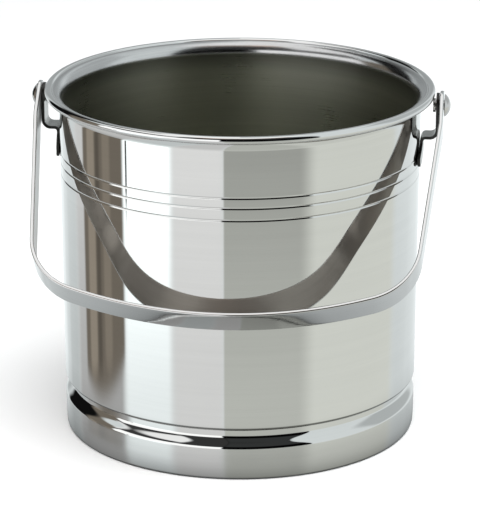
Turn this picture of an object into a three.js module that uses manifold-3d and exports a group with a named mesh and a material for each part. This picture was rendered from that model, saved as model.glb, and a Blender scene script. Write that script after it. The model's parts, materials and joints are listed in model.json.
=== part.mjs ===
// Double-walled stainless steel ice bucket with a flat strap bail.
// Millimetres, +Z up. The origin is the centre of the flat floor that the bucket stands on,
// the bail's pivots lie along X, and the bail hangs down in front, against the wall, at -Y.

import * as THREE from 'three';
import { mergeVertices } from 'three/addons/utils/BufferGeometryUtils.js';
import Module from 'manifold-3d';

const wasm = await Module();
wasm.setup();

// ---------- driving dimensions ----------
const GAP = 0.3;                 // clearance between pieces that touch
const SHEET = 0.8;               // thickness of the drawn steel shells
const TURN_SEGMENTS = 48;        // facets around every turned piece

const RIM_RADIUS = 102;          // outside of the rolled rim bead
const TOTAL_HEIGHT = 184.4;      // floor to the top of the bead
const BEAD_RADIUS = 2.1;

const WALL_TOP_Z = 175.2;        // the straight wall ends and the flare starts
const WALL_TOP_RADIUS = 94.55;
const WALL_FOOT_Z = 28.7;        // the straight wall ends and the lower fillet starts
const WALL_FOOT_RADIUS = 93.6;
const FLARE_RADIUS = 7;          // outside radius of the trumpet flare
const FLARE_ANGLE = 57;          // how far the shell turns outward, degrees

const GROOVE_HEIGHTS = [139.3, 145.6, 150.9];
const GROOVE_WIDTH = 1.5;
const GROOVE_DEPTH = 0.45;

const WALL_FOOT_FILLET = 2.2;

const BASE_RADIUS = 93.5;        // at the widest, half way up the base's side
const BASE_WIDEST_Z = 10;
const BASE_SHOULDER_Z = 16.9;    // the side ends and the S-curve in to the neck starts
const BASE_SHOULDER_RADIUS = 93.25;
const NECK_Z = 23;               // the S-curve ends and the straight collar starts
const NECK_RADIUS = 90;
const COLLAR_TOP_Z = 34;         // the collar ends inside the wall
const BASE_EDGE_FILLET = 1.6;
const BASE_SHEET = 0.9;
const BASE_RING_INNER = 72;      // pressed stiffening ring in the floor
const BASE_RING_OUTER = 82;
const BASE_RING_RISE = 2.5;

const LINER_FLOOR_Z = 29.2;      // underside of the liner's floor
const LINER_FOOT_RADIUS = 86;    // outside of the liner where its wall meets the corner
const LINER_CORNER = 12;
const LINER_TOP_RADIUS = 93.45;  // outside of the liner where its wall ends and the lip starts
const LIP_START_Z = 177;
const LIP_RADIUS = 6.5;          // inside radius of the lip's outward turn
const LIP_ANGLE = 76;            // how far the lip turns outward, degrees

const SLEEVE_BOTTOM_Z = 44;
const SLEEVE_TOP_Z = 130;
const DISC_RADIUS = 84;

const PIVOT_Z = 176;
const EAR_WIDTH = 13;
const EAR_SHEET = 1.6;
const EAR_INNER_X = 94.85;       // back face of the tab that is welded to the wall
const EAR_OUTER_X = 104.2;       // outer face of the leg that carries the rivet
const EAR_SHELF_Z = 159;         // underside of the shelf between the tab and the leg
const EAR_TAB_BEND = 1;          // inside radius where the tab turns out into the shelf
const EAR_LEG_BEND = 3;          // inside radius where the shelf turns up into the leg
const EAR_TAB_WIDTH = 29;
const EAR_TAB_BOTTOM_Z = 146;
const EAR_TAB_SHOULDER_Z = 151; // the tab is at its full width below this
const EAR_TAB_TOP_Z = 157;       // the tab has narrowed to the strap's width here
const EAR_TAB_CORNER = 2.5;

const SHANK_RADIUS = 2.5;
const HEAD_RADIUS = 5.9;
const HEAD_HEIGHT = 3.2;
const TAIL_RADIUS = 3.7;
const TAIL_HEIGHT = 1.4;

const BAIL_WIDTH = 15.2;
const BAIL_SHEET = 2;
const BAIL_LENGTH = 133;         // pivot to the middle of the bottom stretch
const BAIL_CORNER_RADIUS = 33;
const BAIL_BOTTOM_RADIUS = 240;  // the bottom stretch is a shallow bow
const BAIL_BOSS = 16;            // the arms are parallel this far below the pivot
const BAIL_ARM_ANGLE = 5.1;      // how much each arm leans in below that, degrees

// ---------- derived dimensions ----------
const flareCentreRadius = WALL_TOP_RADIUS + FLARE_RADIUS;
const beadCentreRadius = RIM_RADIUS - BEAD_RADIUS;
const beadCentreZ = TOTAL_HEIGHT - BEAD_RADIUS;
const shellInnerFlare = FLARE_RADIUS + SHEET;
const lipCentreRadius = LINER_TOP_RADIUS - SHEET + LIP_RADIUS;
const linerCornerZ = LINER_FLOOR_Z + LINER_CORNER;
const bailMiddleX = EAR_OUTER_X + GAP + BAIL_SHEET / 2;
const headBaseX = EAR_OUTER_X + BAIL_SHEET + 2 * GAP;
const holeRadius = SHANK_RADIUS + GAP;

// ---------- helpers ----------
const point = (x, y) => new THREE.Vector2(x, y);
const radians = THREE.MathUtils.degToRad;

function arc(centre, radius, fromDegrees, toDegrees, steps) {
  return Array.from({ length: steps + 1 }, (_, i) => {
    const angle = radians(fromDegrees + (toDegrees - fromDegrees) * i / steps);
    return point(centre.x + radius * Math.cos(angle), centre.y + radius * Math.sin(angle));
  });
}

// A closed profile of (radius, height) points, turned about the Z axis.
function turned(profile, segments = TURN_SEGMENTS) {
  const first = profile[0];
  const onAxis = first.x === 0;
  const points = onAxis ? profile : [...profile, first.clone()];
  return new THREE.LatheGeometry(points, segments).rotateX(Math.PI / 2);
}

function toSolid(geometry) {
  const bare = geometry.clone();
  bare.deleteAttribute('normal');
  bare.deleteAttribute('uv');
  const merged = mergeVertices(bare, 1e-4);
  const triVerts = new Uint32Array(merged.index.array);
  const vertProperties = new Float32Array(merged.attributes.position.array);
  return new wasm.Manifold(new wasm.Mesh({ numProp: 3, vertProperties, triVerts }));
}

function toGeometry(solid) {
  const mesh = solid.getMesh();
  const geometry = new THREE.BufferGeometry();
  geometry.setAttribute('position', new THREE.BufferAttribute(mesh.vertProperties, 3));
  geometry.setIndex(new THREE.BufferAttribute(mesh.triVerts, 1));
  geometry.computeVertexNormals();
  return geometry;
}

function wallRadius(z) {
  const share = (z - WALL_FOOT_Z) / (WALL_TOP_Z - WALL_FOOT_Z);
  return WALL_FOOT_RADIUS + share * (WALL_TOP_RADIUS - WALL_FOOT_RADIUS);
}

function linerRadius(z) {
  const share = (z - linerCornerZ) / (LIP_START_Z - linerCornerZ);
  return LINER_FOOT_RADIUS + share * (LINER_TOP_RADIUS - LINER_FOOT_RADIUS);
}

// ---------- materials ----------
function steel(roughness, colour = 0xd6d8d7) {
  return new THREE.MeshStandardMaterial({ color: colour, roughness, metalness: 1 });
}

function foam() {
  return new THREE.MeshStandardMaterial({ color: 0xf0efe9, roughness: 0.9, metalness: 0 });
}

// ---------- pieces ----------
function grooveOutline(z) {
  const half = GROOVE_WIDTH / 2;
  return [
    point(wallRadius(z - half), z - half),
    point(wallRadius(z) - GROOVE_DEPTH, z),
    point(wallRadius(z + half), z + half),
  ];
}

// A tube of sheet: flange around the collar, straight wall with three rolled grooves, flare.
function outerShell() {
  const flareCentre = point(flareCentreRadius, WALL_TOP_Z);
  const filletCentre = point(WALL_FOOT_RADIUS - WALL_FOOT_FILLET, WALL_FOOT_Z);
  const flangeRadius = NECK_RADIUS + GAP;
  return turned([
    point(flangeRadius, WALL_FOOT_Z - WALL_FOOT_FILLET),
    ...arc(filletCentre, WALL_FOOT_FILLET, -90, 0, 4),
    ...GROOVE_HEIGHTS.flatMap(grooveOutline),
    ...arc(flareCentre, FLARE_RADIUS, 180, 180 - FLARE_ANGLE, 6),
    ...arc(flareCentre, shellInnerFlare, 180 - FLARE_ANGLE, 180, 6),
    ...arc(filletCentre, WALL_FOOT_FILLET - SHEET, 0, -90, 2),
    point(flangeRadius, WALL_FOOT_Z - WALL_FOOT_FILLET + SHEET),
  ]);
}

// A deep drawn cup that tapers in towards its floor, with its lip curled into a bead.
function innerLiner() {
  const lipCentre = point(lipCentreRadius, LIP_START_Z);
  const cornerCentre = point(LINER_FOOT_RADIUS - LINER_CORNER, linerCornerZ);
  const beadCentre = point(beadCentreRadius, beadCentreZ);
  return turned([
    point(0, LINER_FLOOR_Z),
    ...arc(cornerCentre, LINER_CORNER, -90, 0, 5),
    ...arc(lipCentre, LIP_RADIUS - SHEET, 180, 180 - LIP_ANGLE, 6),
    ...arc(beadCentre, BEAD_RADIUS, 190, 510, 10),
    ...arc(lipCentre, LIP_RADIUS, 180 - LIP_ANGLE, 180, 6),
    ...arc(cornerCentre, LINER_CORNER - SHEET, 0, -90, 5),
    point(0, LINER_FLOOR_Z + SHEET),
  ]);
}

// The base's slightly barrelled side, widest at BASE_WIDEST_Z.
function baseSideRadius(z) {
  const fall = BASE_RADIUS - BASE_SHOULDER_RADIUS;
  return BASE_RADIUS - fall * ((z - BASE_WIDEST_Z) / (BASE_SHOULDER_Z - BASE_WIDEST_Z)) ** 2;
}

// Outline from the bottom edge up the side, through the S-curve, to the top of the collar.
function baseSide(inset) {
  const side = [BASE_EDGE_FILLET, BASE_WIDEST_Z, BASE_SHOULDER_Z];
  const curveSteps = [1, 2, 3, 4, 5, 6].map((step) => step / 6);
  return [
    ...side.map((z) => point(baseSideRadius(z) - inset, z)),
    ...curveSteps.map((share) => point(
      THREE.MathUtils.lerp(BASE_SHOULDER_RADIUS, NECK_RADIUS, (1 - Math.cos(Math.PI * share)) / 2) - inset,
      THREE.MathUtils.lerp(BASE_SHOULDER_Z, NECK_Z, share),
    )),
    point(NECK_RADIUS - inset, COLLAR_TOP_Z),
  ];
}

// Foot cup: flat floor with a pressed stiffening ring, barrelled side, S-curve and collar.
function baseCup() {
  const edgeRadius = baseSideRadius(BASE_EDGE_FILLET);
  const edgeCentre = point(edgeRadius - BASE_EDGE_FILLET, BASE_EDGE_FILLET);
  const slope = BASE_RING_RISE;
  const inner = BASE_SHEET;
  return turned([
    point(0, 0),
    point(BASE_RING_INNER, 0),
    point(BASE_RING_INNER + slope, BASE_RING_RISE),
    point(BASE_RING_OUTER - slope, BASE_RING_RISE),
    point(BASE_RING_OUTER, 0),
    ...arc(edgeCentre, BASE_EDGE_FILLET, -90, 0, 3).slice(0, -1),
    ...baseSide(0),
    ...baseSide(inner).reverse(),
    ...arc(edgeCentre, BASE_EDGE_FILLET - inner, 0, -90, 3).slice(1),
    point(BASE_RING_OUTER, inner),
    point(BASE_RING_OUTER - slope, BASE_RING_RISE + inner),
    point(BASE_RING_INNER + slope, BASE_RING_RISE + inner),
    point(BASE_RING_INNER, inner),
    point(0, inner),
  ]);
}

// Foam wedge that fills the space between the liner and the shell.
function insulationSleeve() {
  const shellInside = (z) => wallRadius(z) - SHEET - GAP;
  const linerOutside = (z) => linerRadius(z) + GAP;
  return turned([
    point(linerOutside(SLEEVE_BOTTOM_Z), SLEEVE_BOTTOM_Z),
    point(shellInside(SLEEVE_BOTTOM_Z), SLEEVE_BOTTOM_Z),
    point(shellInside(SLEEVE_TOP_Z), SLEEVE_TOP_Z),
    point(linerOutside(SLEEVE_TOP_Z), SLEEVE_TOP_Z),
  ]);
}

// Foam plug in the foot, on the base's raised ring and under the liner's floor.
function insulationDisc() {
  const bottom = BASE_RING_RISE + BASE_SHEET + GAP;
  const top = LINER_FLOOR_Z - GAP;
  const topRadius = LINER_FOOT_RADIUS - LINER_CORNER;
  return turned([
    point(0, bottom),
    point(DISC_RADIUS, bottom),
    point(DISC_RADIUS, top - LINER_CORNER / 2),
    point(topRadius, top),
    point(0, top),
  ]);
}

// Half-disc ended bar across X, centred on the pivot, open towards -Z.
function roundEnd(halfWidth, length, centreX, depth) {
  const outline = new THREE.Shape([
    ...arc(point(0, 0), halfWidth, 0, 180, 16),
    point(-halfWidth, -length),
    point(halfWidth, -length),
  ]);
  return new THREE.ExtrudeGeometry(outline, { depth, bevelEnabled: false, steps: 1 })
    .rotateX(Math.PI / 2)
    .rotateZ(Math.PI / 2)
    .translate(centreX - depth / 2, 0, PIVOT_Z);
}

function pivotBore(centreX, depth) {
  return new THREE.CylinderGeometry(holeRadius, holeRadius, depth, 24)
    .rotateZ(Math.PI / 2)
    .translate(centreX, 0, PIVOT_Z);
}

// The lug's foot: a plate curved to the wall, wide at the bottom and as wide as the strap on top.
function earTab() {
  const outer = EAR_INNER_X + EAR_SHEET;
  const cornerY = EAR_TAB_WIDTH / 2 - EAR_TAB_CORNER;
  const cornerZ = EAR_TAB_BOTTOM_Z + EAR_TAB_CORNER;
  const outline = new THREE.Shape([
    ...arc(point(-cornerY, cornerZ), EAR_TAB_CORNER, 180, 270, 4),
    ...arc(point(cornerY, cornerZ), EAR_TAB_CORNER, 270, 360, 4),
    point(EAR_TAB_WIDTH / 2, EAR_TAB_SHOULDER_Z),
    point(EAR_WIDTH / 2, EAR_TAB_TOP_Z),
    point(-EAR_WIDTH / 2, EAR_TAB_TOP_Z),
    point(-EAR_TAB_WIDTH / 2, EAR_TAB_SHOULDER_Z),
  ]);
  const plate = new THREE.ExtrudeGeometry(outline, { depth: EAR_TAB_WIDTH, bevelEnabled: false })
    .rotateX(Math.PI / 2)
    .rotateZ(Math.PI / 2)
    .translate(EAR_INNER_X - EAR_TAB_WIDTH / 2, 0, 0);
  const low = EAR_TAB_BOTTOM_Z - EAR_SHEET;
  const high = EAR_TAB_TOP_Z + EAR_SHEET;
  const ring = turned([
    point(EAR_INNER_X, low),
    point(outer, low),
    point(outer, high),
    point(EAR_INNER_X, high),
  ]);
  return toSolid(plate).intersect(toSolid(ring));
}

// Offset lug, modelled on the +X side: tab on the wall, shelf outward, leg up to the rivet hole.
function ear() {
  const topZ = PIVOT_Z + EAR_WIDTH / 2;
  const tabBend = EAR_TAB_BEND + EAR_SHEET;
  const legBend = EAR_LEG_BEND + EAR_SHEET;
  const tabCentre = point(EAR_INNER_X + tabBend, EAR_SHELF_Z - EAR_TAB_BEND);
  const legCentre = point(EAR_OUTER_X - legBend, EAR_SHELF_Z + legBend);
  const overlapZ = EAR_TAB_TOP_Z - EAR_SHEET;
  const outline = new THREE.Shape([
    point(EAR_INNER_X, overlapZ),
    ...arc(tabCentre, tabBend, 180, 90, 5),
    ...arc(legCentre, EAR_LEG_BEND, 270, 360, 6),
    point(EAR_OUTER_X - EAR_SHEET, topZ),
    point(EAR_OUTER_X, topZ),
    ...arc(legCentre, legBend, 360, 270, 6),
    ...arc(tabCentre, EAR_TAB_BEND, 90, 180, 5),
    point(EAR_INNER_X + EAR_SHEET, overlapZ),
  ]);
  const strap = new THREE.ExtrudeGeometry(outline, { depth: EAR_WIDTH, bevelEnabled: false })
    .translate(0, 0, -EAR_WIDTH / 2)
    .rotateX(Math.PI / 2);
  const legMiddle = EAR_OUTER_X - EAR_SHEET / 2;
  const silhouette = roundEnd(EAR_WIDTH / 2, PIVOT_Z, legMiddle, 4 * EAR_WIDTH);
  const rounded = toSolid(strap).intersect(toSolid(silhouette)).add(earTab());
  return toGeometry(rounded.subtract(toSolid(pivotBore(legMiddle, 2 * EAR_SHEET))));
}

// Domed head outside the bail, plain shank, flattened tail inside the ear.
function rivet() {
  const crown = (HEAD_RADIUS ** 2 + HEAD_HEIGHT ** 2) / (2 * HEAD_HEIGHT);
  const crownCentre = point(0, headBaseX + HEAD_HEIGHT - crown);
  const edgeAngle = THREE.MathUtils.radToDeg(Math.asin((headBaseX - crownCentre.y) / crown));
  const tailTop = EAR_OUTER_X - EAR_SHEET - GAP;
  const profile = [
    point(0, tailTop - TAIL_HEIGHT),
    point(TAIL_RADIUS, tailTop - TAIL_HEIGHT),
    point(TAIL_RADIUS, tailTop),
    point(SHANK_RADIUS, tailTop),
    point(SHANK_RADIUS, headBaseX),
    ...arc(crownCentre, crown, edgeAngle, 90, 6),
  ];
  profile.at(-1).x = 0;
  return new THREE.LatheGeometry(profile, 24)
    .rotateZ(-Math.PI / 2)
    .translate(0, 0, PIVOT_Z);
}

// Middle line of the strap in the bail's own plane, from one arm's end to the bottom middle:
// x is the distance from the middle, y the distance below the pivot.
function bailHalfLine() {
  const lean = radians(BAIL_ARM_ANGLE);
  const down = point(-Math.sin(lean), Math.cos(lean));
  const inward = point(-Math.cos(lean), -Math.sin(lean));
  const bossEnd = point(bailMiddleX, BAIL_BOSS);
  const bowCentre = point(0, BAIL_LENGTH - BAIL_BOTTOM_RADIUS);
  // The corner's centre lies one corner radius inside the arm, on a circle about the bow's centre.
  const start = bossEnd.clone().addScaledVector(inward, BAIL_CORNER_RADIUS).sub(bowCentre);
  const reach = BAIL_BOTTOM_RADIUS - BAIL_CORNER_RADIUS;
  const along = start.dot(down);
  const travel = -along + Math.sqrt(along ** 2 - start.lengthSq() + reach ** 2);
  const cornerCentre = start.clone().addScaledVector(down, travel).add(bowCentre);
  const bowAngle = THREE.MathUtils.radToDeg(cornerCentre.clone().sub(bowCentre).angle());
  return [
    point(bailMiddleX, -BAIL_WIDTH / 2),
    bossEnd,
    ...arc(cornerCentre, BAIL_CORNER_RADIUS, BAIL_ARM_ANGLE, bowAngle, 12),
    ...arc(bowCentre, BAIL_BOTTOM_RADIUS, bowAngle, 90, 8).slice(1),
  ];
}

function offsetLine(line, distance) {
  return line.map((here, i) => {
    const before = line[Math.max(i - 1, 0)];
    const after = line[Math.min(i + 1, line.length - 1)];
    const into = here.clone().sub(before).normalize();
    const out = after.clone().sub(here).normalize();
    const tangent = into.add(out).normalize();
    return point(here.x + tangent.y * distance, here.y - tangent.x * distance);
  });
}

// How far the hanging bail leans forward, so that its back edge rests on the wall in front.
function restingLean() {
  const reach = Math.hypot(BAIL_LENGTH - BAIL_SHEET / 2, BAIL_WIDTH / 2);
  const edgeAngle = Math.atan2(BAIL_WIDTH / 2, BAIL_LENGTH - BAIL_SHEET / 2);
  let touchZ = PIVOT_Z - BAIL_LENGTH / 2;
  let lean = 0;
  for (let round = 0; round < 4; round += 1) {
    lean = Math.asin((wallRadius(touchZ) + GAP) / reach) + edgeAngle;
    touchZ = PIVOT_Z - reach * Math.cos(lean - edgeAngle);
  }
  return lean;
}

// D-shaped strap with rounded, pierced ends, about its pivot, hanging straight down.
function bailHandle() {
  const half = bailHalfLine();
  const mirrored = half.slice(0, -1).reverse().map((p) => point(-p.x, p.y));
  const line = [...half, ...mirrored];
  const inside = offsetLine(line, -BAIL_SHEET / 2);
  const outside = offsetLine(line, BAIL_SHEET / 2);
  const outline = new THREE.Shape([...outside, ...inside.reverse()].map((p) => point(p.x, -p.y)));
  const strap = new THREE.ExtrudeGeometry(outline, { depth: BAIL_WIDTH, bevelEnabled: false })
    .translate(0, 0, -BAIL_WIDTH / 2)
    .rotateX(Math.PI / 2)
    .translate(0, 0, PIVOT_Z);
  const span = 2 * (bailMiddleX + BAIL_SHEET);
  const silhouette = roundEnd(BAIL_WIDTH / 2, 2 * BAIL_LENGTH, 0, span);
  const rounded = toSolid(strap).intersect(toSolid(silhouette));
  const bored = rounded.subtract(toSolid(pivotBore(0, span)));
  return toGeometry(bored).translate(0, 0, -PIVOT_Z);
}

// ---------- assembly ----------
const bucket = new THREE.Group();

function add(name, geometry, material, parent = bucket) {
  const mesh = new THREE.Mesh(geometry, material);
  mesh.name = name;
  parent.add(mesh);
  return mesh;
}

add('outer_shell', outerShell(), steel(0.08));
add('inner_liner', innerLiner(), steel(0.3, 0xc9cbca));
add('base_cup', baseCup(), steel(0.08));
add('insulation_sleeve', insulationSleeve(), foam());
add('insulation_disc', insulationDisc(), foam());

for (const [side, turn] of [['right', 0], ['left', Math.PI]]) {
  const mount = new THREE.Group();
  mount.rotation.z = turn;
  bucket.add(mount);
  add(`${side}_ear`, ear(), steel(0.15), mount);
  add(`${side}_rivet`, rivet(), steel(0.12), mount);
}

const hanging = new THREE.Group();
hanging.position.z = PIVOT_Z;
hanging.rotation.x = -restingLean();
bucket.add(hanging);
add('bail_handle', bailHandle(), steel(0.1), hanging);

export default bucket;
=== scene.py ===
"""Looks of a double-walled, polished stainless steel ice bucket with a flat strap bail.

Metres, +Z up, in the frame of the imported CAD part: the bucket stands on z = 0, the bail's pivots
lie along X, and the bail hangs down in front, at -Y.
"""

import json
import math

import bmesh
import bpy
from mathutils import Matrix, Vector


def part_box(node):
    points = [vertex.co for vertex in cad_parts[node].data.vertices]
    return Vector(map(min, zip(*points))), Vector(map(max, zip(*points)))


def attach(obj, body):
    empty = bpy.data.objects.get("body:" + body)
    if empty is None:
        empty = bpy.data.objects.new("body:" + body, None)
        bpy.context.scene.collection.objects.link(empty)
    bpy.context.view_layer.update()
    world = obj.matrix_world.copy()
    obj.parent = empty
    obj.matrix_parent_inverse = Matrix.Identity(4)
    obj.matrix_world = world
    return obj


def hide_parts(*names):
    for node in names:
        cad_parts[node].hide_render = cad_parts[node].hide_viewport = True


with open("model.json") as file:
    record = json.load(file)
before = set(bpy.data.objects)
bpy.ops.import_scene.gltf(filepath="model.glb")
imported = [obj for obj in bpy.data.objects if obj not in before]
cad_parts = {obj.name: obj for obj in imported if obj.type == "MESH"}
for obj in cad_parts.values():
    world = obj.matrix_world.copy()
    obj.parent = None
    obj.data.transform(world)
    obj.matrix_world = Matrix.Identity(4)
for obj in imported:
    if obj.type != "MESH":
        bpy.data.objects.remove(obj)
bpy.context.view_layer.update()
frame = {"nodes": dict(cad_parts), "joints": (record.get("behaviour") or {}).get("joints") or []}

# ---------- driving dimensions ----------
GAP = 0.0003                     # clearance between pieces that touch
SHEET = 0.0008                   # thickness of the drawn steel shells
TURN_SEGMENTS = 288              # facets around every turned piece

WALL_TOP_Z = 0.1752              # the straight wall ends and the flare starts
WALL_TOP_RADIUS = 0.09455
WALL_FOOT_Z = 0.0287             # the straight wall ends and the lower fillet starts
WALL_FOOT_RADIUS = 0.0936
WALL_FOOT_FILLET = 0.0022
SEAM_ANGLE = 15                  # the fillet gets painted shade, a dark steel, up to this far below its upper end, degrees
FLARE_RADIUS = 0.007
FLARE_ANGLE = 57                 # how far the flare turns outward, degrees
BEAD_RADIUS = 0.0021

GROOVE_HEIGHTS = (0.1393, 0.1456, 0.1509)
GROOVE_WIDTH = 0.0015
GROOVE_DEPTH = 0.00022

BASE_WIDEST_Z = 0.010
BASE_SHOULDER_Z = 0.0168
BASE_SIDE_FALL = 0.00042         # how much the side comes in below its widest height
NECK_Z = 0.023
NECK_RADIUS = 0.090
COLLAR_TOP_Z = 0.034
BASE_EDGE_FILLET = 0.0016
BASE_SHEET = 0.0009
BASE_RING_INNER = 0.072          # radii of the ring that is pressed up into the floor
BASE_RING_OUTER = 0.082
BASE_RING_RISE = 0.0025
BASE_RING_FILLET = 0.0012

LINER_FOOT_RADIUS = 0.086
LINER_CORNER = 0.012
LINER_TOP_RADIUS = 0.09345       # outside of the liner where its wall ends and the lip starts
LIP_START_Z = 0.177
LIP_RADIUS = 0.0065              # inside radius of the lip's outward turn
LIP_ANGLE = 76                   # how far the lip turns outward, degrees

EAR_WIDTH = 0.013
EAR_SHEET = 0.0016
EAR_EDGE = 0.00035               # rounding of the ears' punched edges
EAR_INNER_X = 0.09485            # back face of the tab that is welded to the wall
EAR_SHELF_Z = 0.159              # underside of the shelf between the tab and the leg
EAR_TAB_BEND = 0.001             # inside radius where the tab turns out into the shelf
EAR_LEG_BEND = 0.003             # inside radius where the shelf turns up into the leg
EAR_TAB_WIDTH = 0.029
EAR_TAB_SHOULDER_Z = 0.151       # the tab is at its full width below this
EAR_TAB_TOP_Z = 0.157            # the tab has narrowed to the strap's width here
EAR_TAB_CORNER = 0.0025

SHANK_RADIUS = 0.0025
HEAD_HEIGHT = 0.0032
HEAD_EDGE = 0.0004               # rounding of the head's rim
TAIL_HEIGHT = 0.0014
TAIL_RADIUS = 0.0037
TAIL_EDGE = 0.0003

BAIL_WIDTH = 0.0152
BAIL_SHEET = 0.002
BAIL_EDGE = 0.0006
BAIL_LENGTH = 0.133              # pivot to the middle of the bottom stretch
BAIL_CORNER_RADIUS = 0.033
BAIL_BOTTOM_RADIUS = 0.240
BAIL_BOSS = 0.016                # the arms are parallel this far below the pivot
BAIL_KNEE_RADIUS = 0.020         # radius of the slight bend inward below that
BAIL_ARM_ANGLE = 5.1             # how far the arms lean inward below the bend, degrees

CAMERA_AZIMUTH = 6.0             # degrees from -Y towards +X
CAMERA_DISTANCE = 1.4656         # level distance from the bucket's axis
CAMERA_HEIGHT = 0.5743
CAMERA_PITCH = 18.24
CAMERA_FIELD = 9.99              # angle of view of the picture's height, degrees

# ---------- dimensions from the frame ----------
liner_low, liner_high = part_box("inner_liner")
base_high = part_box("base_cup")[1]
ear_low, ear_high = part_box("right_ear")
rivet_low, rivet_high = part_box("right_rivet")
hinge = next(j for j in frame["joints"] if j["name"] == "bail_swing")

rim_radius = liner_high.x
rim_top_z = liner_high.z
base_radius = base_high.x
pivot = Vector(hinge["pos_m"])
# How far the bail hangs out from straight down at either end of its swing.
bail_lean = math.radians((360 - hinge["range_deg"][1]) / 2)
bail_middle_x = ear_high.x + GAP + BAIL_SHEET / 2
hole_radius = SHANK_RADIUS + GAP

flare_centre = (WALL_TOP_RADIUS + FLARE_RADIUS, WALL_TOP_Z)
bead_centre = (rim_radius - BEAD_RADIUS, rim_top_z - BEAD_RADIUS)
shell_inner_flare = FLARE_RADIUS + SHEET
lip_centre = (LINER_TOP_RADIUS - SHEET + LIP_RADIUS, LIP_START_Z)
liner_corner_centre = (LINER_FOOT_RADIUS - LINER_CORNER, liner_low.z + LINER_CORNER)


# ---------- outlines ----------
def arc(centre, radius, start, end, steps):
    """Points on an arc about centre, from start to end degrees."""
    angles = [math.radians(start + (end - start) * i / steps) for i in range(steps + 1)]
    return [(centre[0] + radius * math.cos(a), centre[1] + radius * math.sin(a)) for a in angles]


def line(start, end, steps):
    """Points evenly spaced on a straight line, both ends included."""
    shares = [i / steps for i in range(steps + 1)]
    return [tuple(a + (b - a) * s for a, b in zip(start, end)) for s in shares]


def rounded(corners, radius, steps=4):
    """An open outline through corners, each inner corner replaced by a fillet."""
    points = [corners[0]]
    for before, corner, after in zip(corners, corners[1:], corners[2:]):
        here = Vector(corner)
        into = (Vector(before) - here).normalized()
        out = (Vector(after) - here).normalized()
        half = into.angle(out) / 2
        start = here + into * radius / math.tan(half)
        end = here + out * radius / math.tan(half)
        centre = here + (into + out).normalized() * radius / math.sin(half)
        for i in range(steps + 1):
            spoke = (start - centre).lerp(end - centre, i / steps).normalized()
            points.append(tuple(centre + spoke * radius))
    points.append(corners[-1])
    return points


# ---------- meshes ----------
def finished(name, bm, materials, sharp_angle=32):
    """A smooth-shaded object from bm, with its creases kept."""
    bmesh.ops.recalc_face_normals(bm, faces=bm.faces)
    mesh = bpy.data.meshes.new(name)
    bm.to_mesh(mesh)
    bm.free()
    mesh.shade_smooth()
    mesh.set_sharp_from_angle(angle=math.radians(sharp_angle))
    for material in materials:
        mesh.materials.append(material)
    piece = bpy.data.objects.new(name, mesh)
    bpy.context.scene.collection.objects.link(piece)
    weighted = piece.modifiers.new("even shading", "WEIGHTED_NORMAL")
    weighted.keep_sharp = True
    return piece


def turned(name, sections, materials, segments=TURN_SEGMENTS):
    """Sections are (points, material index) along one profile that closes on itself or on the axis.

    The UV map "finish" holds the turn and the run along the profile, in metres.
    """
    profile = []
    for points, index in sections:
        for point in points:
            if not profile or math.dist(point, profile[-1][0]) > 1e-6:
                profile.append((point, index))
    runs = [0.0]
    for (here, _), (after, _) in zip(profile, profile[1:]):
        runs.append(runs[-1] + math.dist(here, after))
    closes = profile[0][0][0] > 0
    if closes:
        runs.append(runs[-1] + math.dist(profile[-1][0], profile[0][0]))

    bm = bmesh.new()
    uv = bm.loops.layers.uv.new("finish")
    turns = [2 * math.pi * k / segments for k in range(segments)]
    rings = []
    for (radius, z), _ in profile:
        if radius < 1e-7:
            rings.append([bm.verts.new((0, 0, z))] * segments)
        else:
            rings.append([bm.verts.new((radius * math.cos(t), radius * math.sin(t), z)) for t in turns])
    steps = len(profile) if closes else len(profile) - 1
    for i in range(steps):
        lower, upper = rings[i], rings[(i + 1) % len(rings)]
        for k in range(segments):
            after = (k + 1) % segments
            corners = [
                (lower[k], k, runs[i]),
                (lower[after], k + 1, runs[i]),
                (upper[after], k + 1, runs[i + 1]),
                (upper[k], k, runs[i + 1]),
            ]
            # On the axis two corners share one vertex, which leaves a triangle.
            kept = []
            for corner in corners:
                if all(corner[0] is not other[0] for other in kept):
                    kept.append(corner)
            face = bm.faces.new([corner[0] for corner in kept])
            face.material_index = profile[i][1]
            for loop, (_, turn, run) in zip(face.loops, kept):
                loop[uv].uv = (turn / segments, run)
    return finished(name, bm, materials)


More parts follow.
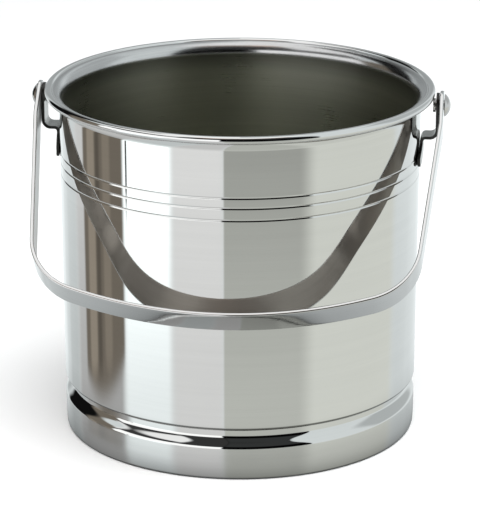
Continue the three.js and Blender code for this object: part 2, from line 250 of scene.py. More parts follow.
def bent_strap(name, path, width, thickness, edge, materials, foot=None):
    """A punched flat blank, rounded at its edges, then bent along path.

    path is a list of points in the strap's own plane, (across, up), and the blank's width lies
    along Y. The blank ends in half discs, each with a pivot hole. foot takes the place of the first
    one: it is the outline of a wider end without a hole, as (along, across) points. The three
    materials are for the face to the left of the path, the edges and the face to the right.
    The UV map "finish" holds the length along the strap and the place across it, in metres.
    """
    runs = [0.0]
    for here, after in zip(path, path[1:]):
        runs.append(runs[-1] + math.dist(here, after))
    length = runs[-1]
    half = width / 2

    def loop_edges(bm, points):
        verts = [bm.verts.new((x, y, 0)) for x, y in points]
        return [bm.edges.new((a, b)) for a, b in zip(verts, verts[1:] + verts[:1])]

    # the flat blank with its holes, cut across wherever the path turns
    bm = bmesh.new()
    start = foot or arc((half, 0), half, 90, 270, 32)
    end = arc((length - half, 0), half, -90, 90, 32)
    edges = loop_edges(bm, start + end)
    for centre in ([] if foot else [half]) + [length - half]:
        edges += loop_edges(bm, arc((centre, 0), hole_radius, 0, 350, 35))
    bmesh.ops.triangle_fill(bm, edges=edges, use_beauty=True)
    for run in runs[1:-1]:
        whole = bm.verts[:] + bm.edges[:] + bm.faces[:]
        bmesh.ops.bisect_plane(bm, geom=whole, plane_co=(run, 0, 0), plane_no=(1, 0, 0), dist=1e-7)
    bmesh.ops.recalc_face_normals(bm, faces=bm.faces)

    # its thickness and its rounded edges
    sheet = bmesh.ops.extrude_face_region(bm, geom=bm.faces[:])
    for vert in sheet["geom"]:
        if isinstance(vert, bmesh.types.BMVert):
            vert.co.z += thickness
    bmesh.ops.recalc_face_normals(bm, faces=bm.faces)
    creases = [e for e in bm.edges if len(e.link_faces) == 2 and e.calc_face_angle() > math.radians(60)]
    bmesh.ops.bevel(bm, geom=creases, offset=edge, segments=4, profile=0.5, affect="EDGES")

    # materials and UV map while it is still flat
    uv = bm.loops.layers.uv.new("finish")
    bm.normal_update()
    for face in bm.faces:
        face.material_index = 0 if face.normal.z > 0.9 else 2 if face.normal.z < -0.9 else 1
        for corner in face.loops:
            corner[uv].uv = (corner.vert.co.x, corner.vert.co.y)

    # the bends
    def normal(i):
        before = Vector(path[max(i - 1, 0)])
        after = Vector(path[min(i + 1, len(path) - 1)])
        along = (after - before).normalized()
        return Vector((-along.y, along.x))

    normals = [normal(i) for i in range(len(path))]
    for vert in bm.verts:
        run = min(max(vert.co.x, 0.0), length)
        i = max(k for k in range(len(runs) - 1) if runs[k] <= run + 1e-9 or k == 0)
        share = (run - runs[i]) / (runs[i + 1] - runs[i])
        at = Vector(path[i]).lerp(Vector(path[i + 1]), share)
        out = normals[i].lerp(normals[i + 1], share).normalized()
        at += out * (vert.co.z - thickness / 2)
        vert.co = (at.x, vert.co.y, at.y)
    return finished(name, bm, materials, sharp_angle=180)


# ---------- material helpers ----------
def srgb(red, green, blue):
    """The linear colour of an 8-bit screen colour."""
    return tuple(
        ((c / 255 + 0.055) / 1.055) ** 2.4 if c > 10 else c / 255 / 12.92 for c in (red, green, blue)
    ) + (1.0,)


class Graph:
    """A small writer for shader node trees."""

    def __init__(self, tree):
        self.tree = tree
        tree.nodes.clear()

    def node(self, kind, **settings):
        made = self.tree.nodes.new(kind)
        for key, value in settings.items():
            setattr(made, key, value)
        return made

    def link(self, output, target):
        self.tree.links.new(output, target)

    def feed(self, target, value):
        if isinstance(value, bpy.types.NodeSocket):
            self.link(value, target)
        else:
            target.default_value = value

    def math(self, operation, a, b=0.0):
        made = self.node("ShaderNodeMath", operation=operation)
        for target, value in zip(made.inputs, (a, b)):
            self.feed(target, value)
        return made.outputs[0]

    def ramp(self, value, low, high, to_low=0.0, to_high=1.0, smooth=False):
        kind = "SMOOTHSTEP" if smooth else "LINEAR"
        made = self.node("ShaderNodeMapRange", interpolation_type=kind)
        for name, number in (
            ("Value", value), ("From Min", low), ("From Max", high), ("To Min", to_low), ("To Max", to_high)
        ):
            self.feed(made.inputs[name], number)
        return made.outputs["Result"]

    def mix(self, factor, a, b):
        made = self.node("ShaderNodeMix", data_type="RGBA")
        self.feed(made.inputs["Factor"], factor)
        self.feed(made.inputs["A"], a)
        self.feed(made.inputs["B"], b)
        return made.outputs["Result"]

    def noise(self, vector, scale, detail=3.0, roughness=0.5):
        made = self.node("ShaderNodeTexNoise")
        self.link(vector, made.inputs["Vector"])
        made.inputs["Scale"].default_value = scale
        made.inputs["Detail"].default_value = detail
        made.inputs["Roughness"].default_value = roughness
        return made.outputs["Fac"]


def new_material(name):
    material = bpy.data.materials.new(name)
    material.use_nodes = True
    graph = Graph(material.node_tree)
    shader = graph.node("ShaderNodeBsdfPrincipled")
    output = graph.node("ShaderNodeOutputMaterial")
    graph.link(shader.outputs["BSDF"], output.inputs["Surface"])
    return material, graph, shader


def grain_vector(graph, is_turned, along, across):
    """Coordinates that run slowly along the polishing lines and fast across them."""
    uv = graph.node("ShaderNodeUVMap", uv_map="finish")
    run = graph.node("ShaderNodeSeparateXYZ")
    graph.link(uv.outputs["UV"], run.inputs[0])
    place = graph.node("ShaderNodeTexCoord")
    flat = graph.node("ShaderNodeSeparateXYZ")
    graph.link(place.outputs["Object"], flat.inputs[0])
    vector = graph.node("ShaderNodeCombineXYZ")
    if is_turned:
        graph.link(graph.math("MULTIPLY", flat.outputs["X"], along), vector.inputs["X"])
        graph.link(graph.math("MULTIPLY", flat.outputs["Y"], along), vector.inputs["Y"])
    else:
        graph.link(graph.math("MULTIPLY", run.outputs["X"], along), vector.inputs["X"])
        graph.link(graph.math("MULTIPLY", flat.outputs["Z"], along), vector.inputs["Y"])
    graph.link(graph.math("MULTIPLY", run.outputs["Y"], across), vector.inputs["Z"])
    return vector.outputs[0]


FINE_ALONG = 6.0                 # how often a fine polishing line changes in a metre along it
COARSE_ALONG = 4.0               # the same for a coarse line
SCRATCH_ALONG = 30.0             # and for a scratch
WIPE_SCALE = 22.0                # wipe marks in a metre
SCRATCH_EDGE = (0.74, 0.78)      # only the tops of the scratch noise, between these, are scratches
NOISE_SPAN = (0.3, 0.7)          # most of a noise's values lie between these
SMOOTHEST = 0.01                 # no steel is smoother than this
RIM_SHADE = 0.45                 # how dark the painted shade makes the bowl right under the lip
GLANCING_FACING = (0.62, 0.80)   # where the painted bright sheen on the strap's back starts and ends, by how edge on it is seen
BLACK = (0.0, 0.0, 0.0, 1.0)


def steel(
    name, colour, roughness, spread, lines, line_depth, anisotropy=0.0, streak=0.04, scratches=1.0,
    metallic=1.0, is_turned=True, shade_heights=None, painted_sheen_colour=None
):
    """Stainless steel with polishing lines, wipe marks and a few fine scratches.

    roughness is the mean and spread how far the wipe marks move it; lines is how many polishing
    lines a metre holds across the grain, and line_depth how deep they are, in metres. streak is how
    much the lines darken the steel. Between the two shade_heights a painted shade darkens it to
    RIM_SHADE, and painted_sheen_colour is a painted sheen: the colour that it takes where it is seen
    edge on.
    """
    material, graph, shader = new_material(name)
    place = graph.node("ShaderNodeTexCoord")
    fine_grain = grain_vector(graph, is_turned, FINE_ALONG, lines)
    coarse_grain = grain_vector(graph, is_turned, COARSE_ALONG, lines / 9)
    scratch_grain = grain_vector(graph, is_turned, SCRATCH_ALONG, lines / 3)
    fine = graph.noise(fine_grain, scale=1.0, detail=5.0, roughness=0.65)
    coarse = graph.noise(coarse_grain, scale=1.0, detail=3.0, roughness=0.6)
    wipe = graph.noise(place.outputs["Object"], scale=WIPE_SCALE, detail=4.0, roughness=0.55)
    scratch_field = graph.noise(scratch_grain, scale=1.0, detail=1.0, roughness=0.4)
    scratch = graph.ramp(scratch_field, *SCRATCH_EDGE, 0.0, scratches)

    shade = graph.ramp(coarse, *NOISE_SPAN, 1.0 - streak, 1.0)
    shade = graph.math("MULTIPLY", shade, graph.ramp(fine, *NOISE_SPAN, 1.0 - streak / 2, 1.0))
    shade = graph.math("MULTIPLY", shade, graph.ramp(wipe, 0.35, 0.7, 1.0, 1.0 - streak / 2))
    # painted shade: between the shade heights the steel darkens towards RIM_SHADE, standing in for the
    # shade under the lip
    if shade_heights:
        axes = graph.node("ShaderNodeSeparateXYZ")
        graph.link(place.outputs["Object"], axes.inputs[0])
        painted_lip_shade = graph.ramp(axes.outputs["Z"], *shade_heights, 1.0, RIM_SHADE, smooth=True)
        shade = graph.math("MULTIPLY", shade, painted_lip_shade)
    # painted sheen: the colour turns pale where the surface is seen edge on, standing in for the bright
    # room it mirrors there
    if painted_sheen_colour:
        facing = graph.node("ShaderNodeLayerWeight")
        facing.inputs["Blend"].default_value = 0.5
        glance = graph.ramp(facing.outputs["Facing"], *GLANCING_FACING, smooth=True)
        colour = graph.mix(glance, colour, painted_sheen_colour)
    graph.link(graph.mix(shade, BLACK, colour), shader.inputs["Base Color"])

    rough = graph.ramp(wipe, *NOISE_SPAN, roughness - spread, roughness + spread)
    rough = graph.math("ADD", rough, graph.math("MULTIPLY", scratch, spread * 2))
    rough = graph.math("ADD", rough, graph.ramp(fine, *NOISE_SPAN, -spread / 2, spread / 2))
    graph.link(graph.math("MAXIMUM", rough, SMOOTHEST), shader.inputs["Roughness"])

    relief = graph.math("ADD", fine, graph.math("MULTIPLY", coarse, 2.0))
    relief = graph.math("SUBTRACT", relief, scratch)
    bump = graph.node("ShaderNodeBump")
    bump.inputs["Strength"].default_value = 1.0
    bump.inputs["Distance"].default_value = line_depth
    graph.link(relief, bump.inputs["Height"])
    graph.link(bump.outputs["Normal"], shader.inputs["Normal"])

    shader.inputs["Metallic"].default_value = metallic
    if anisotropy:
        tangent = graph.node("ShaderNodeTangent")
        if is_turned:
            tangent.direction_type = "RADIAL"
            tangent.axis = "Z"
        else:
            tangent.direction_type = "UV_MAP"
            tangent.uv_map = "finish"
        graph.link(tangent.outputs[0], shader.inputs["Tangent"])
        shader.inputs["Anisotropic"].default_value = anisotropy
        shader.inputs["Anisotropic Rotation"].default_value = 0.25
    return material


BEADS = 320.0                    # beads of the foam in a metre


def bead_foam(name):
    """Expanded polystyrene: fused white beads a few millimetres across."""
    material, graph, shader = new_material(name)
    place = graph.node("ShaderNodeTexCoord")
    beads = graph.node("ShaderNodeTexVoronoi", feature="F1")
    beads.inputs["Scale"].default_value = BEADS
    graph.link(place.outputs["Object"], beads.inputs["Vector"])
    seam = graph.ramp(beads.outputs["Distance"], 0.25, 0.75, 0.0, 1.0, smooth=True)
    mottle = graph.noise(place.outputs["Object"], 40.0, 3.0)
    colour = graph.mix(seam, srgb(244, 243, 238), srgb(214, 212, 204))
    colour = graph.mix(graph.ramp(mottle, 0.4, 0.75, 0.0, 0.5), colour, srgb(228, 226, 217))
    graph.link(colour, shader.inputs["Base Color"])
    graph.link(graph.ramp(mottle, *NOISE_SPAN, 0.75, 0.95), shader.inputs["Roughness"])
    bump = graph.node("ShaderNodeBump")
    bump.inputs["Strength"].default_value = 0.6
    bump.inputs["Distance"].default_value = 0.0006
    graph.link(graph.math("SUBTRACT", 1.0, seam), bump.inputs["Height"])
    graph.link(bump.outputs["Normal"], shader.inputs["Normal"])
    return material


# ---------- materials ----------
mirror_steel = steel(
    "mirror_polished_steel", (0.655, 0.66, 0.65, 1), roughness=0.03, spread=0.008,
    lines=2600, line_depth=2.2e-7, anisotropy=0.4, streak=0.03
)
foot_steel = steel(
    "brushed_foot_steel", (0.65, 0.655, 0.645, 1), roughness=0.13, spread=0.02,
    lines=2600, line_depth=2.2e-7, anisotropy=0.3, streak=0.03
)
# painted shade: a dark steel that stands in for the shadowed crease where the wall meets the foot
seam_shade_steel = steel(
    "seam_painted_shade_steel", (0.27, 0.27, 0.26, 1), roughness=0.15, spread=0.03,
    lines=2600, line_depth=4e-7, streak=0.1
)
bead_steel = steel(
    "polished_rim_steel", (0.65, 0.655, 0.65, 1), roughness=0.022, spread=0.006,
    lines=2600, line_depth=2.2e-7, streak=0.03
)
lip_steel = steel(
    "satin_lip_steel", (0.60, 0.605, 0.605, 1), roughness=0.21, spread=0.04,
    lines=1500, line_depth=9e-6, anisotropy=0.5, streak=0.22
)
# the bowl's colour darkens under the lip with painted shade
bowl_steel = steel(
    "satin_bowl_steel", (0.55, 0.555, 0.48, 1), roughness=0.30, spread=0.03,
    lines=1800, line_depth=6e-6, anisotropy=0.3, streak=0.12, scratches=0.0, shade_heights=(0.166, 0.1765)
)
inside_steel = steel(
    "mill_finish_steel", (0.60, 0.60, 0.59, 1), roughness=0.35, spread=0.05,
    lines=1500, line_depth=3e-6, streak=0.1
)
strap_steel = steel(
    "polished_strap_steel", (0.64, 0.64, 0.635, 1), roughness=0.06, spread=0.015,
    lines=2600, line_depth=6e-7, is_turned=False
)
# painted reflection: the brownish grey colour and the metal share below 1 stand in for the dark tone this
# face mirrors, and its pale sheen seen edge on is painted too
strap_back_painted_steel = steel(
    "dull_strap_back_painted_reflection", (0.50, 0.455, 0.41, 1), roughness=0.32, spread=0.03,
    lines=1500, line_depth=2e-6, streak=0.12, metallic=0.65, is_turned=False, painted_sheen_colour=(0.95, 0.95, 0.94, 1)
)
# painted dark reflection: the ears get a darker steel colour than the rest, standing in for the dark room
# they mirror
ear_steel = steel(
    "tumbled_ear_steel_painted_dark", (0.34, 0.34, 0.33, 1), roughness=0.20, spread=0.04,
    lines=1800, line_depth=1.2e-6, streak=0.12, is_turned=False
)
# painted dark reflection: the punched edges are nearly black, standing in for the dark room that their
# rounded edges mirror
ear_edge_painted_black_steel = steel(
    "punched_ear_edge_painted_black", (0.05, 0.05, 0.048, 1), roughness=0.30, spread=0.05,
    lines=1500, line_depth=1.2e-6, streak=0.1, is_turned=False
)
rivet_steel = steel(
    "rivet_steel", (0.60, 0.59, 0.58, 1), roughness=0.10, spread=0.03,
    lines=1200, line_depth=1e-6, streak=0.06
)
foam = bead_foam("expanded_polystyrene")


# ---------- shells ----------
def wall_radius(z):
    share = (z - WALL_FOOT_Z) / (WALL_TOP_Z - WALL_FOOT_Z)
    return WALL_FOOT_RADIUS + share * (WALL_TOP_RADIUS - WALL_FOOT_RADIUS)


def groove(z, steps=16):
    """A rolled groove: one smooth cosine dip in the wall."""
    points = []
    for i in range(steps + 1):
        share = i / steps
        height = z + (share - 0.5) * GROOVE_WIDTH
        dip = GROOVE_DEPTH * (1 - math.cos(2 * math.pi * share)) / 2
        points.append((wall_radius(height) - dip, height))
    return points


def build_outer_shell():
    foot_centre = (WALL_FOOT_RADIUS - WALL_FOOT_FILLET, WALL_FOOT_Z)
    flange_radius = NECK_RADIUS + GAP
    flange_z = WALL_FOOT_Z - WALL_FOOT_FILLET
    # The fillet's underside and the flange take the dark seam steel, which is painted shade.
    seam = [(flange_radius, flange_z)] + arc(foot_centre, WALL_FOOT_FILLET, -90, -SEAM_ANGLE, 10)
    outside = arc(foot_centre, WALL_FOOT_FILLET, -SEAM_ANGLE, 0, 3)
    for z in GROOVE_HEIGHTS:
        outside += groove(z)
    outside += arc(flare_centre, FLARE_RADIUS, 180, 180 - FLARE_ANGLE, 24)
    inside = arc(flare_centre, shell_inner_flare, 180 - FLARE_ANGLE, 180, 12)
    inside += arc(foot_centre, WALL_FOOT_FILLET - SHEET, 0, -90, 4)
    inside.append((flange_radius, flange_z + SHEET))
    sections = [(seam, 1), (outside, 0), (inside, 2)]
    return turned("outer_shell_skin", sections, [mirror_steel, seam_shade_steel, inside_steel])


def build_liner():
    """A deep drawn cup whose lip flares out over the shell and curls into a bead."""
    back = [(0.0, liner_low.z)] + arc(liner_corner_centre, LINER_CORNER, -90, 0, 16)
    back += arc(lip_centre, LIP_RADIUS - SHEET, 180, 180 - LIP_ANGLE, 20)
    bead = arc(bead_centre, BEAD_RADIUS, 190, 510, 40)
    lip = arc(lip_centre, LIP_RADIUS, 180 - LIP_ANGLE, 180, 28)
    bowl = arc(liner_corner_centre, LINER_CORNER - SHEET, 0, -90, 20)
    bowl += line((liner_corner_centre[0], liner_low.z + SHEET), (0.0, liner_low.z + SHEET), 6)[1:]
    sections = [(back, 0), (bead, 1), (lip[:-1], 2), (lip[-1:] + bowl, 3)]
    return turned("inner_liner_skin", sections, [inside_steel, bead_steel, lip_steel, bowl_steel])


def base_side_radius(z):
    """Straight above the widest height, curving in a little below it."""
    return base_radius - BASE_SIDE_FALL * max(1 - z / BASE_WIDEST_Z, 0.0) ** 2


def base_side(inset, steps=16):
    """Bottom edge to shoulder, inset from the outside."""
    height = BASE_SHOULDER_Z - BASE_EDGE_FILLET
    sides = [BASE_EDGE_FILLET + height * i / steps for i in range(steps + 1)]
    return [(base_side_radius(z) - inset, z) for z in sides]


def base_neck(inset, steps=32):
    """Shoulder to collar: an S-curve in to the neck, and the straight collar above it."""
    points = []
    for i in range(steps):
        share = (i + 1) / steps
        ease = (1 - math.cos(math.pi * share)) / 2
        radius = base_radius + (NECK_RADIUS - base_radius) * ease
        points.append((radius - inset, BASE_SHOULDER_Z + (NECK_Z - BASE_SHOULDER_Z) * share))
    points.append((NECK_RADIUS - inset, COLLAR_TOP_Z))
    return points


def base_floor(lift):
    """The floor's line from the axis out to the bottom edge, with its pressed ring."""
    slope = BASE_RING_RISE       # the ring's sides rise at 45 degrees
    edge = base_side_radius(BASE_EDGE_FILLET) - BASE_EDGE_FILLET
    corners = [
        (0.0, lift),
        (BASE_RING_INNER, lift),
        (BASE_RING_INNER + slope, lift + BASE_RING_RISE),
        (BASE_RING_OUTER - slope, lift + BASE_RING_RISE),
        (BASE_RING_OUTER, lift),
        (edge, lift),
    ]
    return rounded(corners, BASE_RING_FILLET)


def build_base_cup():
    edge_centre = (base_side_radius(BASE_EDGE_FILLET) - BASE_EDGE_FILLET, BASE_EDGE_FILLET)
    floor = base_floor(0.0) + arc(edge_centre, BASE_EDGE_FILLET, -90, 0, 10)[1:-1]
    side = base_side(0.0)
    inside = (base_side(BASE_SHEET) + base_neck(BASE_SHEET))[::-1]
    inside += arc(edge_centre, BASE_EDGE_FILLET - BASE_SHEET, 0, -90, 6)[1:]
    inside += base_floor(BASE_SHEET)[::-1][1:]
    sections = [(floor + side[:-1], 0), (side[-1:] + base_neck(0.0), 1), (inside, 2)]
    return turned("base_cup_skin", sections, [foot_steel, mirror_steel, inside_steel])


# ---------- ears, rivets and bail ----------
def build_ear(name):
    """Offset lug on the +X side: wide tab on the wall, shelf outward, leg up to the rivet."""
    half, wide, corner = EAR_WIDTH / 2, EAR_TAB_WIDTH / 2, EAR_TAB_CORNER
    shoulder, top = EAR_TAB_SHOULDER_Z - ear_low.z, EAR_TAB_TOP_Z - ear_low.z
    foot = [(top, half), (shoulder, wide)] + arc((corner, wide - corner), corner, 90, 180, 8)
    foot += [(along, -across) for along, across in foot[::-1]]
    tab_bend = EAR_TAB_BEND + EAR_SHEET
    leg_bend = EAR_LEG_BEND + EAR_SHEET
    tab_centre = (EAR_INNER_X + tab_bend, EAR_SHELF_Z - EAR_TAB_BEND)
    leg_centre = (ear_high.x - leg_bend, EAR_SHELF_Z + leg_bend)
    tab_x = EAR_INNER_X + EAR_SHEET / 2
    leg_x = ear_high.x - EAR_SHEET / 2
    path = line((tab_x, ear_low.z), (tab_x, tab_centre[1]), 8)
    path += arc(tab_centre, tab_bend - EAR_SHEET / 2, 180, 90, 16)[1:]
    path += arc(leg_centre, leg_bend - EAR_SHEET / 2, 270, 360, 16)
    path += line((leg_x, leg_centre[1]), (leg_x, ear_high.z), 6)[1:]
    finish = [ear_steel, ear_edge_painted_black_steel, ear_steel]
    ear = bent_strap(name, path, EAR_WIDTH, EAR_SHEET, EAR_EDGE, finish, foot)
    # Below the shelf, the tab follows the wall around.
    for vert in ear.data.vertices:
        around = EAR_INNER_X - math.sqrt(EAR_INNER_X ** 2 - vert.co.y ** 2)
        vert.co.x -= around * min(max((EAR_SHELF_Z - vert.co.z) / EAR_TAB_BEND, 0.0), 1.0)
    return ear


def build_rivet(name):
    """Domed head outside the bail, plain shank, flattened tail inside the ear."""
    head_base = rivet_high.x - HEAD_HEIGHT
    head_radius = rivet_high.z - pivot.z
    rise = HEAD_HEIGHT - HEAD_EDGE
    crown = (head_radius ** 2 + rise ** 2) / (2 * rise)
    crown_centre = (0.0, rivet_high.x - crown)
    rim_angle = math.degrees(math.asin((head_base + HEAD_EDGE - crown_centre[1]) / crown))
    tail_low = rivet_low.x
    tail_high = tail_low + TAIL_HEIGHT
    tail_rim = [(TAIL_RADIUS, tail_low), (TAIL_RADIUS, tail_high)]
    tail = rounded([(0.0, tail_low), *tail_rim, (SHANK_RADIUS, tail_high)], TAIL_EDGE)
    head = [(SHANK_RADIUS, head_base), (head_radius - HEAD_EDGE, head_base)]
    head += arc((head_radius - HEAD_EDGE, head_base + HEAD_EDGE), HEAD_EDGE, -90, 0, 6)
    head += arc(crown_centre, crown, rim_angle, 90, 20)[1:-1]
    head.append((0.0, rivet_high.x))
    piece = turned(name, [(tail, 0), (head, 0)], [rivet_steel], segments=72)
    piece.data.transform(Matrix.Translation((0, 0, pivot.z)) @ Matrix.Rotation(math.pi / 2, 4, "Y"))
    return piece


def bail_half_line():
    """Middle line from one arm's end to the bottom middle: (across, below the pivot)."""
    lean = math.radians(BAIL_ARM_ANGLE)
    down = Vector((-math.sin(lean), math.cos(lean)))
    inward = Vector((-math.cos(lean), -math.sin(lean)))
    boss_end = Vector((bail_middle_x, BAIL_BOSS))
    bow_centre = Vector((0.0, BAIL_LENGTH - BAIL_BOTTOM_RADIUS))
    # The corner's centre lies one corner radius inside the arm, on a circle about the bow's centre.
    start = boss_end + inward * BAIL_CORNER_RADIUS - bow_centre
    reach = BAIL_BOTTOM_RADIUS - BAIL_CORNER_RADIUS
    along = start.dot(down)
    travel = -along + math.sqrt(along ** 2 - start.length_squared + reach ** 2)
    corner_centre = start + down * travel + bow_centre
    outward = corner_centre - bow_centre
    bow_angle = math.degrees(math.atan2(outward.y, outward.x))
    boss = line((bail_middle_x, -BAIL_WIDTH / 2), (bail_middle_x, BAIL_WIDTH / 2), 8)
    knee_centre = (bail_middle_x - BAIL_KNEE_RADIUS, BAIL_BOSS - BAIL_KNEE_RADIUS * math.tan(lean / 2))
    knee = arc(knee_centre, BAIL_KNEE_RADIUS, 0, BAIL_ARM_ANGLE, 4)
    corner = arc(corner_centre, BAIL_CORNER_RADIUS, BAIL_ARM_ANGLE, bow_angle, 28)
    bow = arc(bow_centre, BAIL_BOTTOM_RADIUS, bow_angle, 90, 14)
    arm = line(knee[-1], corner[0], 6)
    return boss + knee + arm[1:-1] + corner + bow[1:]


def build_bail(name):
    """One flat strap bent to a D, hanging in front as it does at rest."""
    half = bail_half_line()
    whole = half + [(-x, y) for x, y in half[-2::-1]]
    path = [(x, -y) for x, y in whole]
    finish = [strap_steel, strap_steel, strap_back_painted_steel]
    strap = bent_strap(name, path, BAIL_WIDTH, BAIL_SHEET, BAIL_EDGE, finish)
    strap.data.transform(Matrix.Translation(pivot) @ Matrix.Rotation(-bail_lean, 4, "X"))
    return strap


def stand_in(piece, body, node):
    """Let the piece ride the body in place of the CAD node."""
    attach(piece, body)
    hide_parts(node)


stand_in(build_outer_shell(), "bucket", "outer_shell")
stand_in(build_liner(), "bucket", "inner_liner")
stand_in(build_base_cup(), "bucket", "base_cup")
for side, turn in (("right", 0.0), ("left", math.pi)):
    for kind, build, slot in (("ear", build_ear, "ear_steel"), ("rivet", build_rivet, "rivet_steel")):
        piece = build(f"{side}_{kind}_skin")
        piece.data.transform(Matrix.Rotation(turn, 4, "Z"))
        stand_in(piece, "bucket", f"{side}_{kind}")
stand_in(build_bail("bail_handle_skin"), "bail", "bail_handle")

for node in ("insulation_sleeve", "insulation_disc"):
    frame["nodes"][node].data.materials.clear()
    frame["nodes"][node].data.materials.append(foam)


# ---------- studio ----------
FLOOR_SIZE = 6
SHADE_RADIUS = 0.165             # how far the foot darkens the table around it
SHADE_DROP = 0.0002              # the shade lies this far under the table's surface
SHADE_TONE = (0.12, 0.12, 0.12, 1)  # what the shade lets through right at the foot
SHADE_CURVE = 0.25               # below 1 the shade clears fast close to the foot, then slowly
STEEL_SHARE = 0.64               # how much of the light each mirroring keeps
ROOM_LEVEL = 208                 # the level wherever nothing else is painted

# Tints of the studio's greys: what red, green and blue are multiplied by.
PLAIN = (1.0, 1.0, 1.0)
COOL = (0.98, 1.005, 1.01)
GREEN = (1.0, 1.01, 0.98)
BROWN = (1.07, 1.0, 0.91)
ROSY = (1.15, 0.98, 0.88)

# What the upright wall mirrors, below the horizon: turns, softness of their sides, tint, and three
# levels, which are near the foot and at the two heights TABLE_HEIGHTS. Later rows cover earlier ones.
TABLE_HEIGHTS = (-21.7, -17.1)
TABLE_EDGE = (-13.5, -12.0)      # the table's far edge fades between these heights
NEAR_SPAN = 12                   # degrees below the lower height where the near level is reached
TABLE = (
    ((-200, -167), 5, COOL, 205, 208, 210),
    ((-167, -156), 5, COOL, 200, 208, 220),
    ((-156, -148), 4, COOL, 185, 192, 208),
    ((-148, -130), 4, COOL, 184, 174, 200),
    ((-130, -80), 4, PLAIN, 184, 160, 195),
    ((-80, -44), 4, COOL, 190, 233, 290),
    ((-44, -10.2), 4, PLAIN, 188, 205, 215),
    ((-10.2, 60), 0.8, GREEN, 172, 178, 152),
    ((44, 118), 7, GREEN, 190, 201, 199),
    ((118, 140), 6, COOL, 188, 199, 209),
    ((140, 155), 5, COOL, 190, 198, 213),
    ((155, 166), 4, COOL, 190, 198, 213),
    ((166, 200), 4, COOL, 190, 195, 213),
)
# Things with a top and a bottom: level, tint, turns, heights, softness of sides and of ends, and
# how much higher the lower end is at its sides than in its middle.
STANDING = (
    # a brown cupboard with a dark gap between its doors
    (99, BROWN, (-119, -80), (-21.5, -8), 1.5, 0.3, 0.6),
    (129, BROWN, (-114, -106), (-21.0, -8), 1.5, 0.3, 0.2),
    (116, BROWN, (-98, -91), (-21.0, -8), 1.5, 0.3, 0.2),
    (80, BROWN, (-105, -101), (-21.0, -8), 1.5, 0.3, 0.0),
    (100, BROWN, (-119, -88), (-8, 30), 3, 2, 0.0),
    # the white ceiling on the left and behind, the pale walls behind and the dim cove between them
    (246, PLAIN, (-200, -45), (46, 95), 6, 3, 0.0),
    (150, COOL, (-200, -150), (-6, 50), 8, 6, 0.0),
    (150, COOL, (160, 200), (-6, 60), 8, 6, 0.0),
    (90, PLAIN, (-162, -118), (27, 42), 6, 3, 0.0),
    # the large softbox on the left, with a pale wall and dim strips of ceiling over it
    (232, PLAIN, (-95, -45), (26, 95), 3, 3, 0.0),
    (55, PLAIN, (-92, -45), (19, 44), 3, 3, 0.0),
    (50, PLAIN, (-45, -4), (26, 64), 3, 3, 0.0),
    (255, PLAIN, (-88, -11.5), (-13, 26), 1.5, 2, 0.0),
    # the dark frame along the softbox's side
    (60, PLAIN, (-77.6, -76.2), (-17.9, -8), 0.4, 0.6, 0.0),
    # the dark room behind the camera, a little paler higher up
    (4, COOL, (-11.5, 46), (-12.5, 64), 0.8, 1, 0.0),
    (50, COOL, (-11.5, 46), (34, 64), 3, 6, 0.0),
    # a dark doorway behind the bucket on the left
    (14, PLAIN, (-145, -115), (-13, 66), 3, 2, 0.0),
    # the dim corner on the right, behind the bucket
    (172, COOL, (96, 150), (2, 48), 6, 4, 0.0),
    # the ceiling in front, lit a warm tone, and the overhead light
    (127, ROSY, (-11.5, 52), (64, 73), 3, 2, 0.0),
    (188, ROSY, (-45, -11.5), (64, 73), 3, 2, 0.0),
    (238, PLAIN, (-200, 200), (71, 95), 5, 2, 0.0),
)


def build_floor():
    bpy.ops.mesh.primitive_plane_add(size=FLOOR_SIZE)
    floor = bpy.context.object
    floor.name = "studio_floor"
    material, _, shader = new_material("pale_floor")
    shader.inputs["Base Color"].default_value = (0.9, 0.9, 0.9, 1)
    shader.inputs["Roughness"].default_value = 0.9
    floor.data.materials.append(material)
    floor.visible_glossy = False


def build_floor_shade():
    """The table's own shadow around the foot, as the polished steel mirrors it."""
    outline = [(0.0, -SHADE_DROP), (SHADE_RADIUS, -SHADE_DROP)]
    disc = turned("studio_floor_shade", [(outline, 0)], [], segments=96)
    material = bpy.data.materials.new("floor_shade")
    material.use_nodes = True
    graph = Graph(material.node_tree)
    place = graph.node("ShaderNodeTexCoord")
    away = graph.node("ShaderNodeVectorMath", operation="LENGTH")
    graph.link(place.outputs["Object"], away.inputs[0])
    reach = graph.ramp(away.outputs["Value"], base_radius, SHADE_RADIUS)
    tone = graph.mix(graph.math("POWER", reach, SHADE_CURVE), SHADE_TONE, (1, 1, 1, 1))
    clear = graph.node("ShaderNodeBsdfTransparent")
    graph.link(tone, clear.inputs["Color"])
    output = graph.node("ShaderNodeOutputMaterial")
    graph.link(clear.outputs[0], output.inputs["Surface"])
    disc.data.materials.append(material)
    disc.visible_camera = False
    disc.visible_diffuse = False
    disc.visible_shadow = False


def build_light(name, direction, distance, size, energy):
    """A soft area light that lights the floor but isn't seen in the steel."""
    data = bpy.data.lights.new(name, "AREA")
    data.size = size
    data.energy = energy
    lamp = bpy.data.objects.new(name, data)
    lamp.location = Vector(direction).normalized() * distance
    lamp.rotation_euler = Vector(direction).to_track_quat("Z", "Y").to_euler()
    lamp.visible_glossy = False
    bpy.context.scene.collection.objects.link(lamp)


def toned(level, tint):
    """A tinted studio grey. 255 is the level of white paper, and a light may be brighter."""
    return srgb(*(level * share for share in tint))


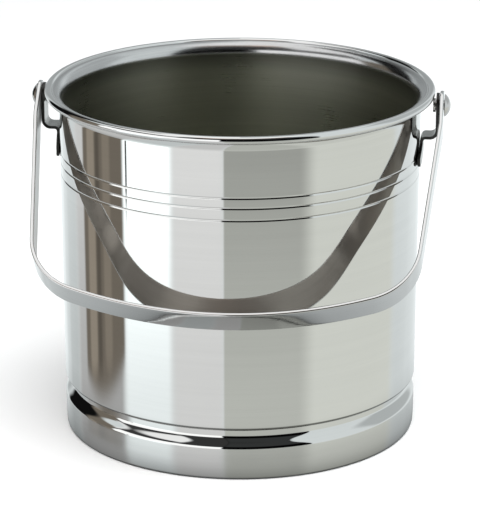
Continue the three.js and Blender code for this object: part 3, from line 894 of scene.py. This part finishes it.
def paint_room(world, heading):
    """What the polished steel mirrors: a studio painted by direction, in degrees.

    turn is measured from the direction of the camera, positive to its right, and height from
    the horizon. Rays from the camera see plain white.
    """
    graph = Graph(world.node_tree)
    place = graph.node("ShaderNodeTexCoord")
    axes = graph.node("ShaderNodeSeparateXYZ")
    graph.link(place.outputs["Generated"], axes.inputs[0])
    east, north, up = axes.outputs
    right = graph.math(
        "ADD",
        graph.math("MULTIPLY", east, math.cos(heading)),
        graph.math("MULTIPLY", north, math.sin(heading)),
    )
    ahead = graph.math(
        "SUBTRACT",
        graph.math("MULTIPLY", east, math.sin(heading)),
        graph.math("MULTIPLY", north, math.cos(heading)),
    )
    turn = graph.math("DEGREES", graph.math("ARCTAN2", right, ahead))
    height = graph.math("DEGREES", graph.math("ARCSINE", up))

    def between(value, low, high, soft):
        """1 from low to high, fading out by soft on both sides. low may be a socket."""
        rising = graph.ramp(graph.math("SUBTRACT", value, low), -soft, soft, smooth=True)
        falling = graph.ramp(value, high - soft, high + soft, 1.0, 0.0, smooth=True)
        return graph.math("MULTIPLY", rising, falling)

    colour = toned(ROOM_LEVEL, COOL)
    lift = graph.ramp(height, *TABLE_HEIGHTS)
    below = graph.ramp(height, TABLE_HEIGHTS[0] - NEAR_SPAN, TABLE_HEIGHTS[0])
    on_table = graph.ramp(height, *TABLE_EDGE, 1.0, 0.0, smooth=True)
    for turns, soft, tint, near, low, high in TABLE:
        tone = graph.mix(lift, graph.mix(below, toned(near, tint), toned(low, tint)), toned(high, tint))
        mask = graph.math("MULTIPLY", between(turn, *turns, soft), on_table)
        colour = graph.mix(mask, colour, tone)
    for level, tint, turns, heights, soft, soft_end, arch in STANDING:
        middle, half = (turns[0] + turns[1]) / 2, (turns[1] - turns[0]) / 2
        off_middle = graph.ramp(graph.math("ABSOLUTE", graph.math("SUBTRACT", turn, middle)), 0.0, half)
        raised = graph.math("MULTIPLY", graph.math("POWER", off_middle, 2.0), arch)
        foot = graph.math("ADD", heights[0], raised)
        upright = between(height, foot, heights[1], soft_end)
        mask = graph.math("MULTIPLY", between(turn, *turns, soft), upright)
        colour = graph.mix(mask, colour, toned(level, tint))
    room = graph.node("ShaderNodeBackground")
    graph.link(colour, room.inputs["Color"])
    room.inputs["Strength"].default_value = 1 / STEEL_SHARE
    backdrop = graph.node("ShaderNodeBackground")
    backdrop.inputs["Color"].default_value = (1, 1, 1, 1)
    kind_of_ray = graph.node("ShaderNodeLightPath")
    choice = graph.node("ShaderNodeMixShader")
    graph.link(kind_of_ray.outputs["Is Camera Ray"], choice.inputs[0])
    graph.link(room.outputs[0], choice.inputs[1])
    graph.link(backdrop.outputs[0], choice.inputs[2])
    output = graph.node("ShaderNodeOutputWorld")
    graph.link(choice.outputs[0], output.inputs["Surface"])


def build_camera(heading):
    data = bpy.data.cameras.new("camera")
    data.sensor_fit = "VERTICAL"
    data.lens = data.sensor_height / (2 * math.tan(math.radians(CAMERA_FIELD) / 2))
    camera = bpy.data.objects.new("camera", data)
    camera.location = (
        CAMERA_DISTANCE * math.sin(heading),
        -CAMERA_DISTANCE * math.cos(heading),
        CAMERA_HEIGHT,
    )
    camera.rotation_euler = (math.radians(90 - CAMERA_PITCH), 0, heading)
    bpy.context.scene.collection.objects.link(camera)
    bpy.context.scene.camera = camera


build_floor()
build_floor_shade()
build_light("overhead_softbox", direction=(0.2, -0.4, 1), distance=1.8, size=1.6, energy=40)

heading = math.radians(CAMERA_AZIMUTH)
scene = bpy.context.scene
scene.world = bpy.data.worlds.new("studio")
scene.world.use_nodes = True
paint_room(scene.world, heading)
scene.view_settings.view_transform = "Standard"
scene.cycles.glossy_bounces = 8

build_camera(heading)
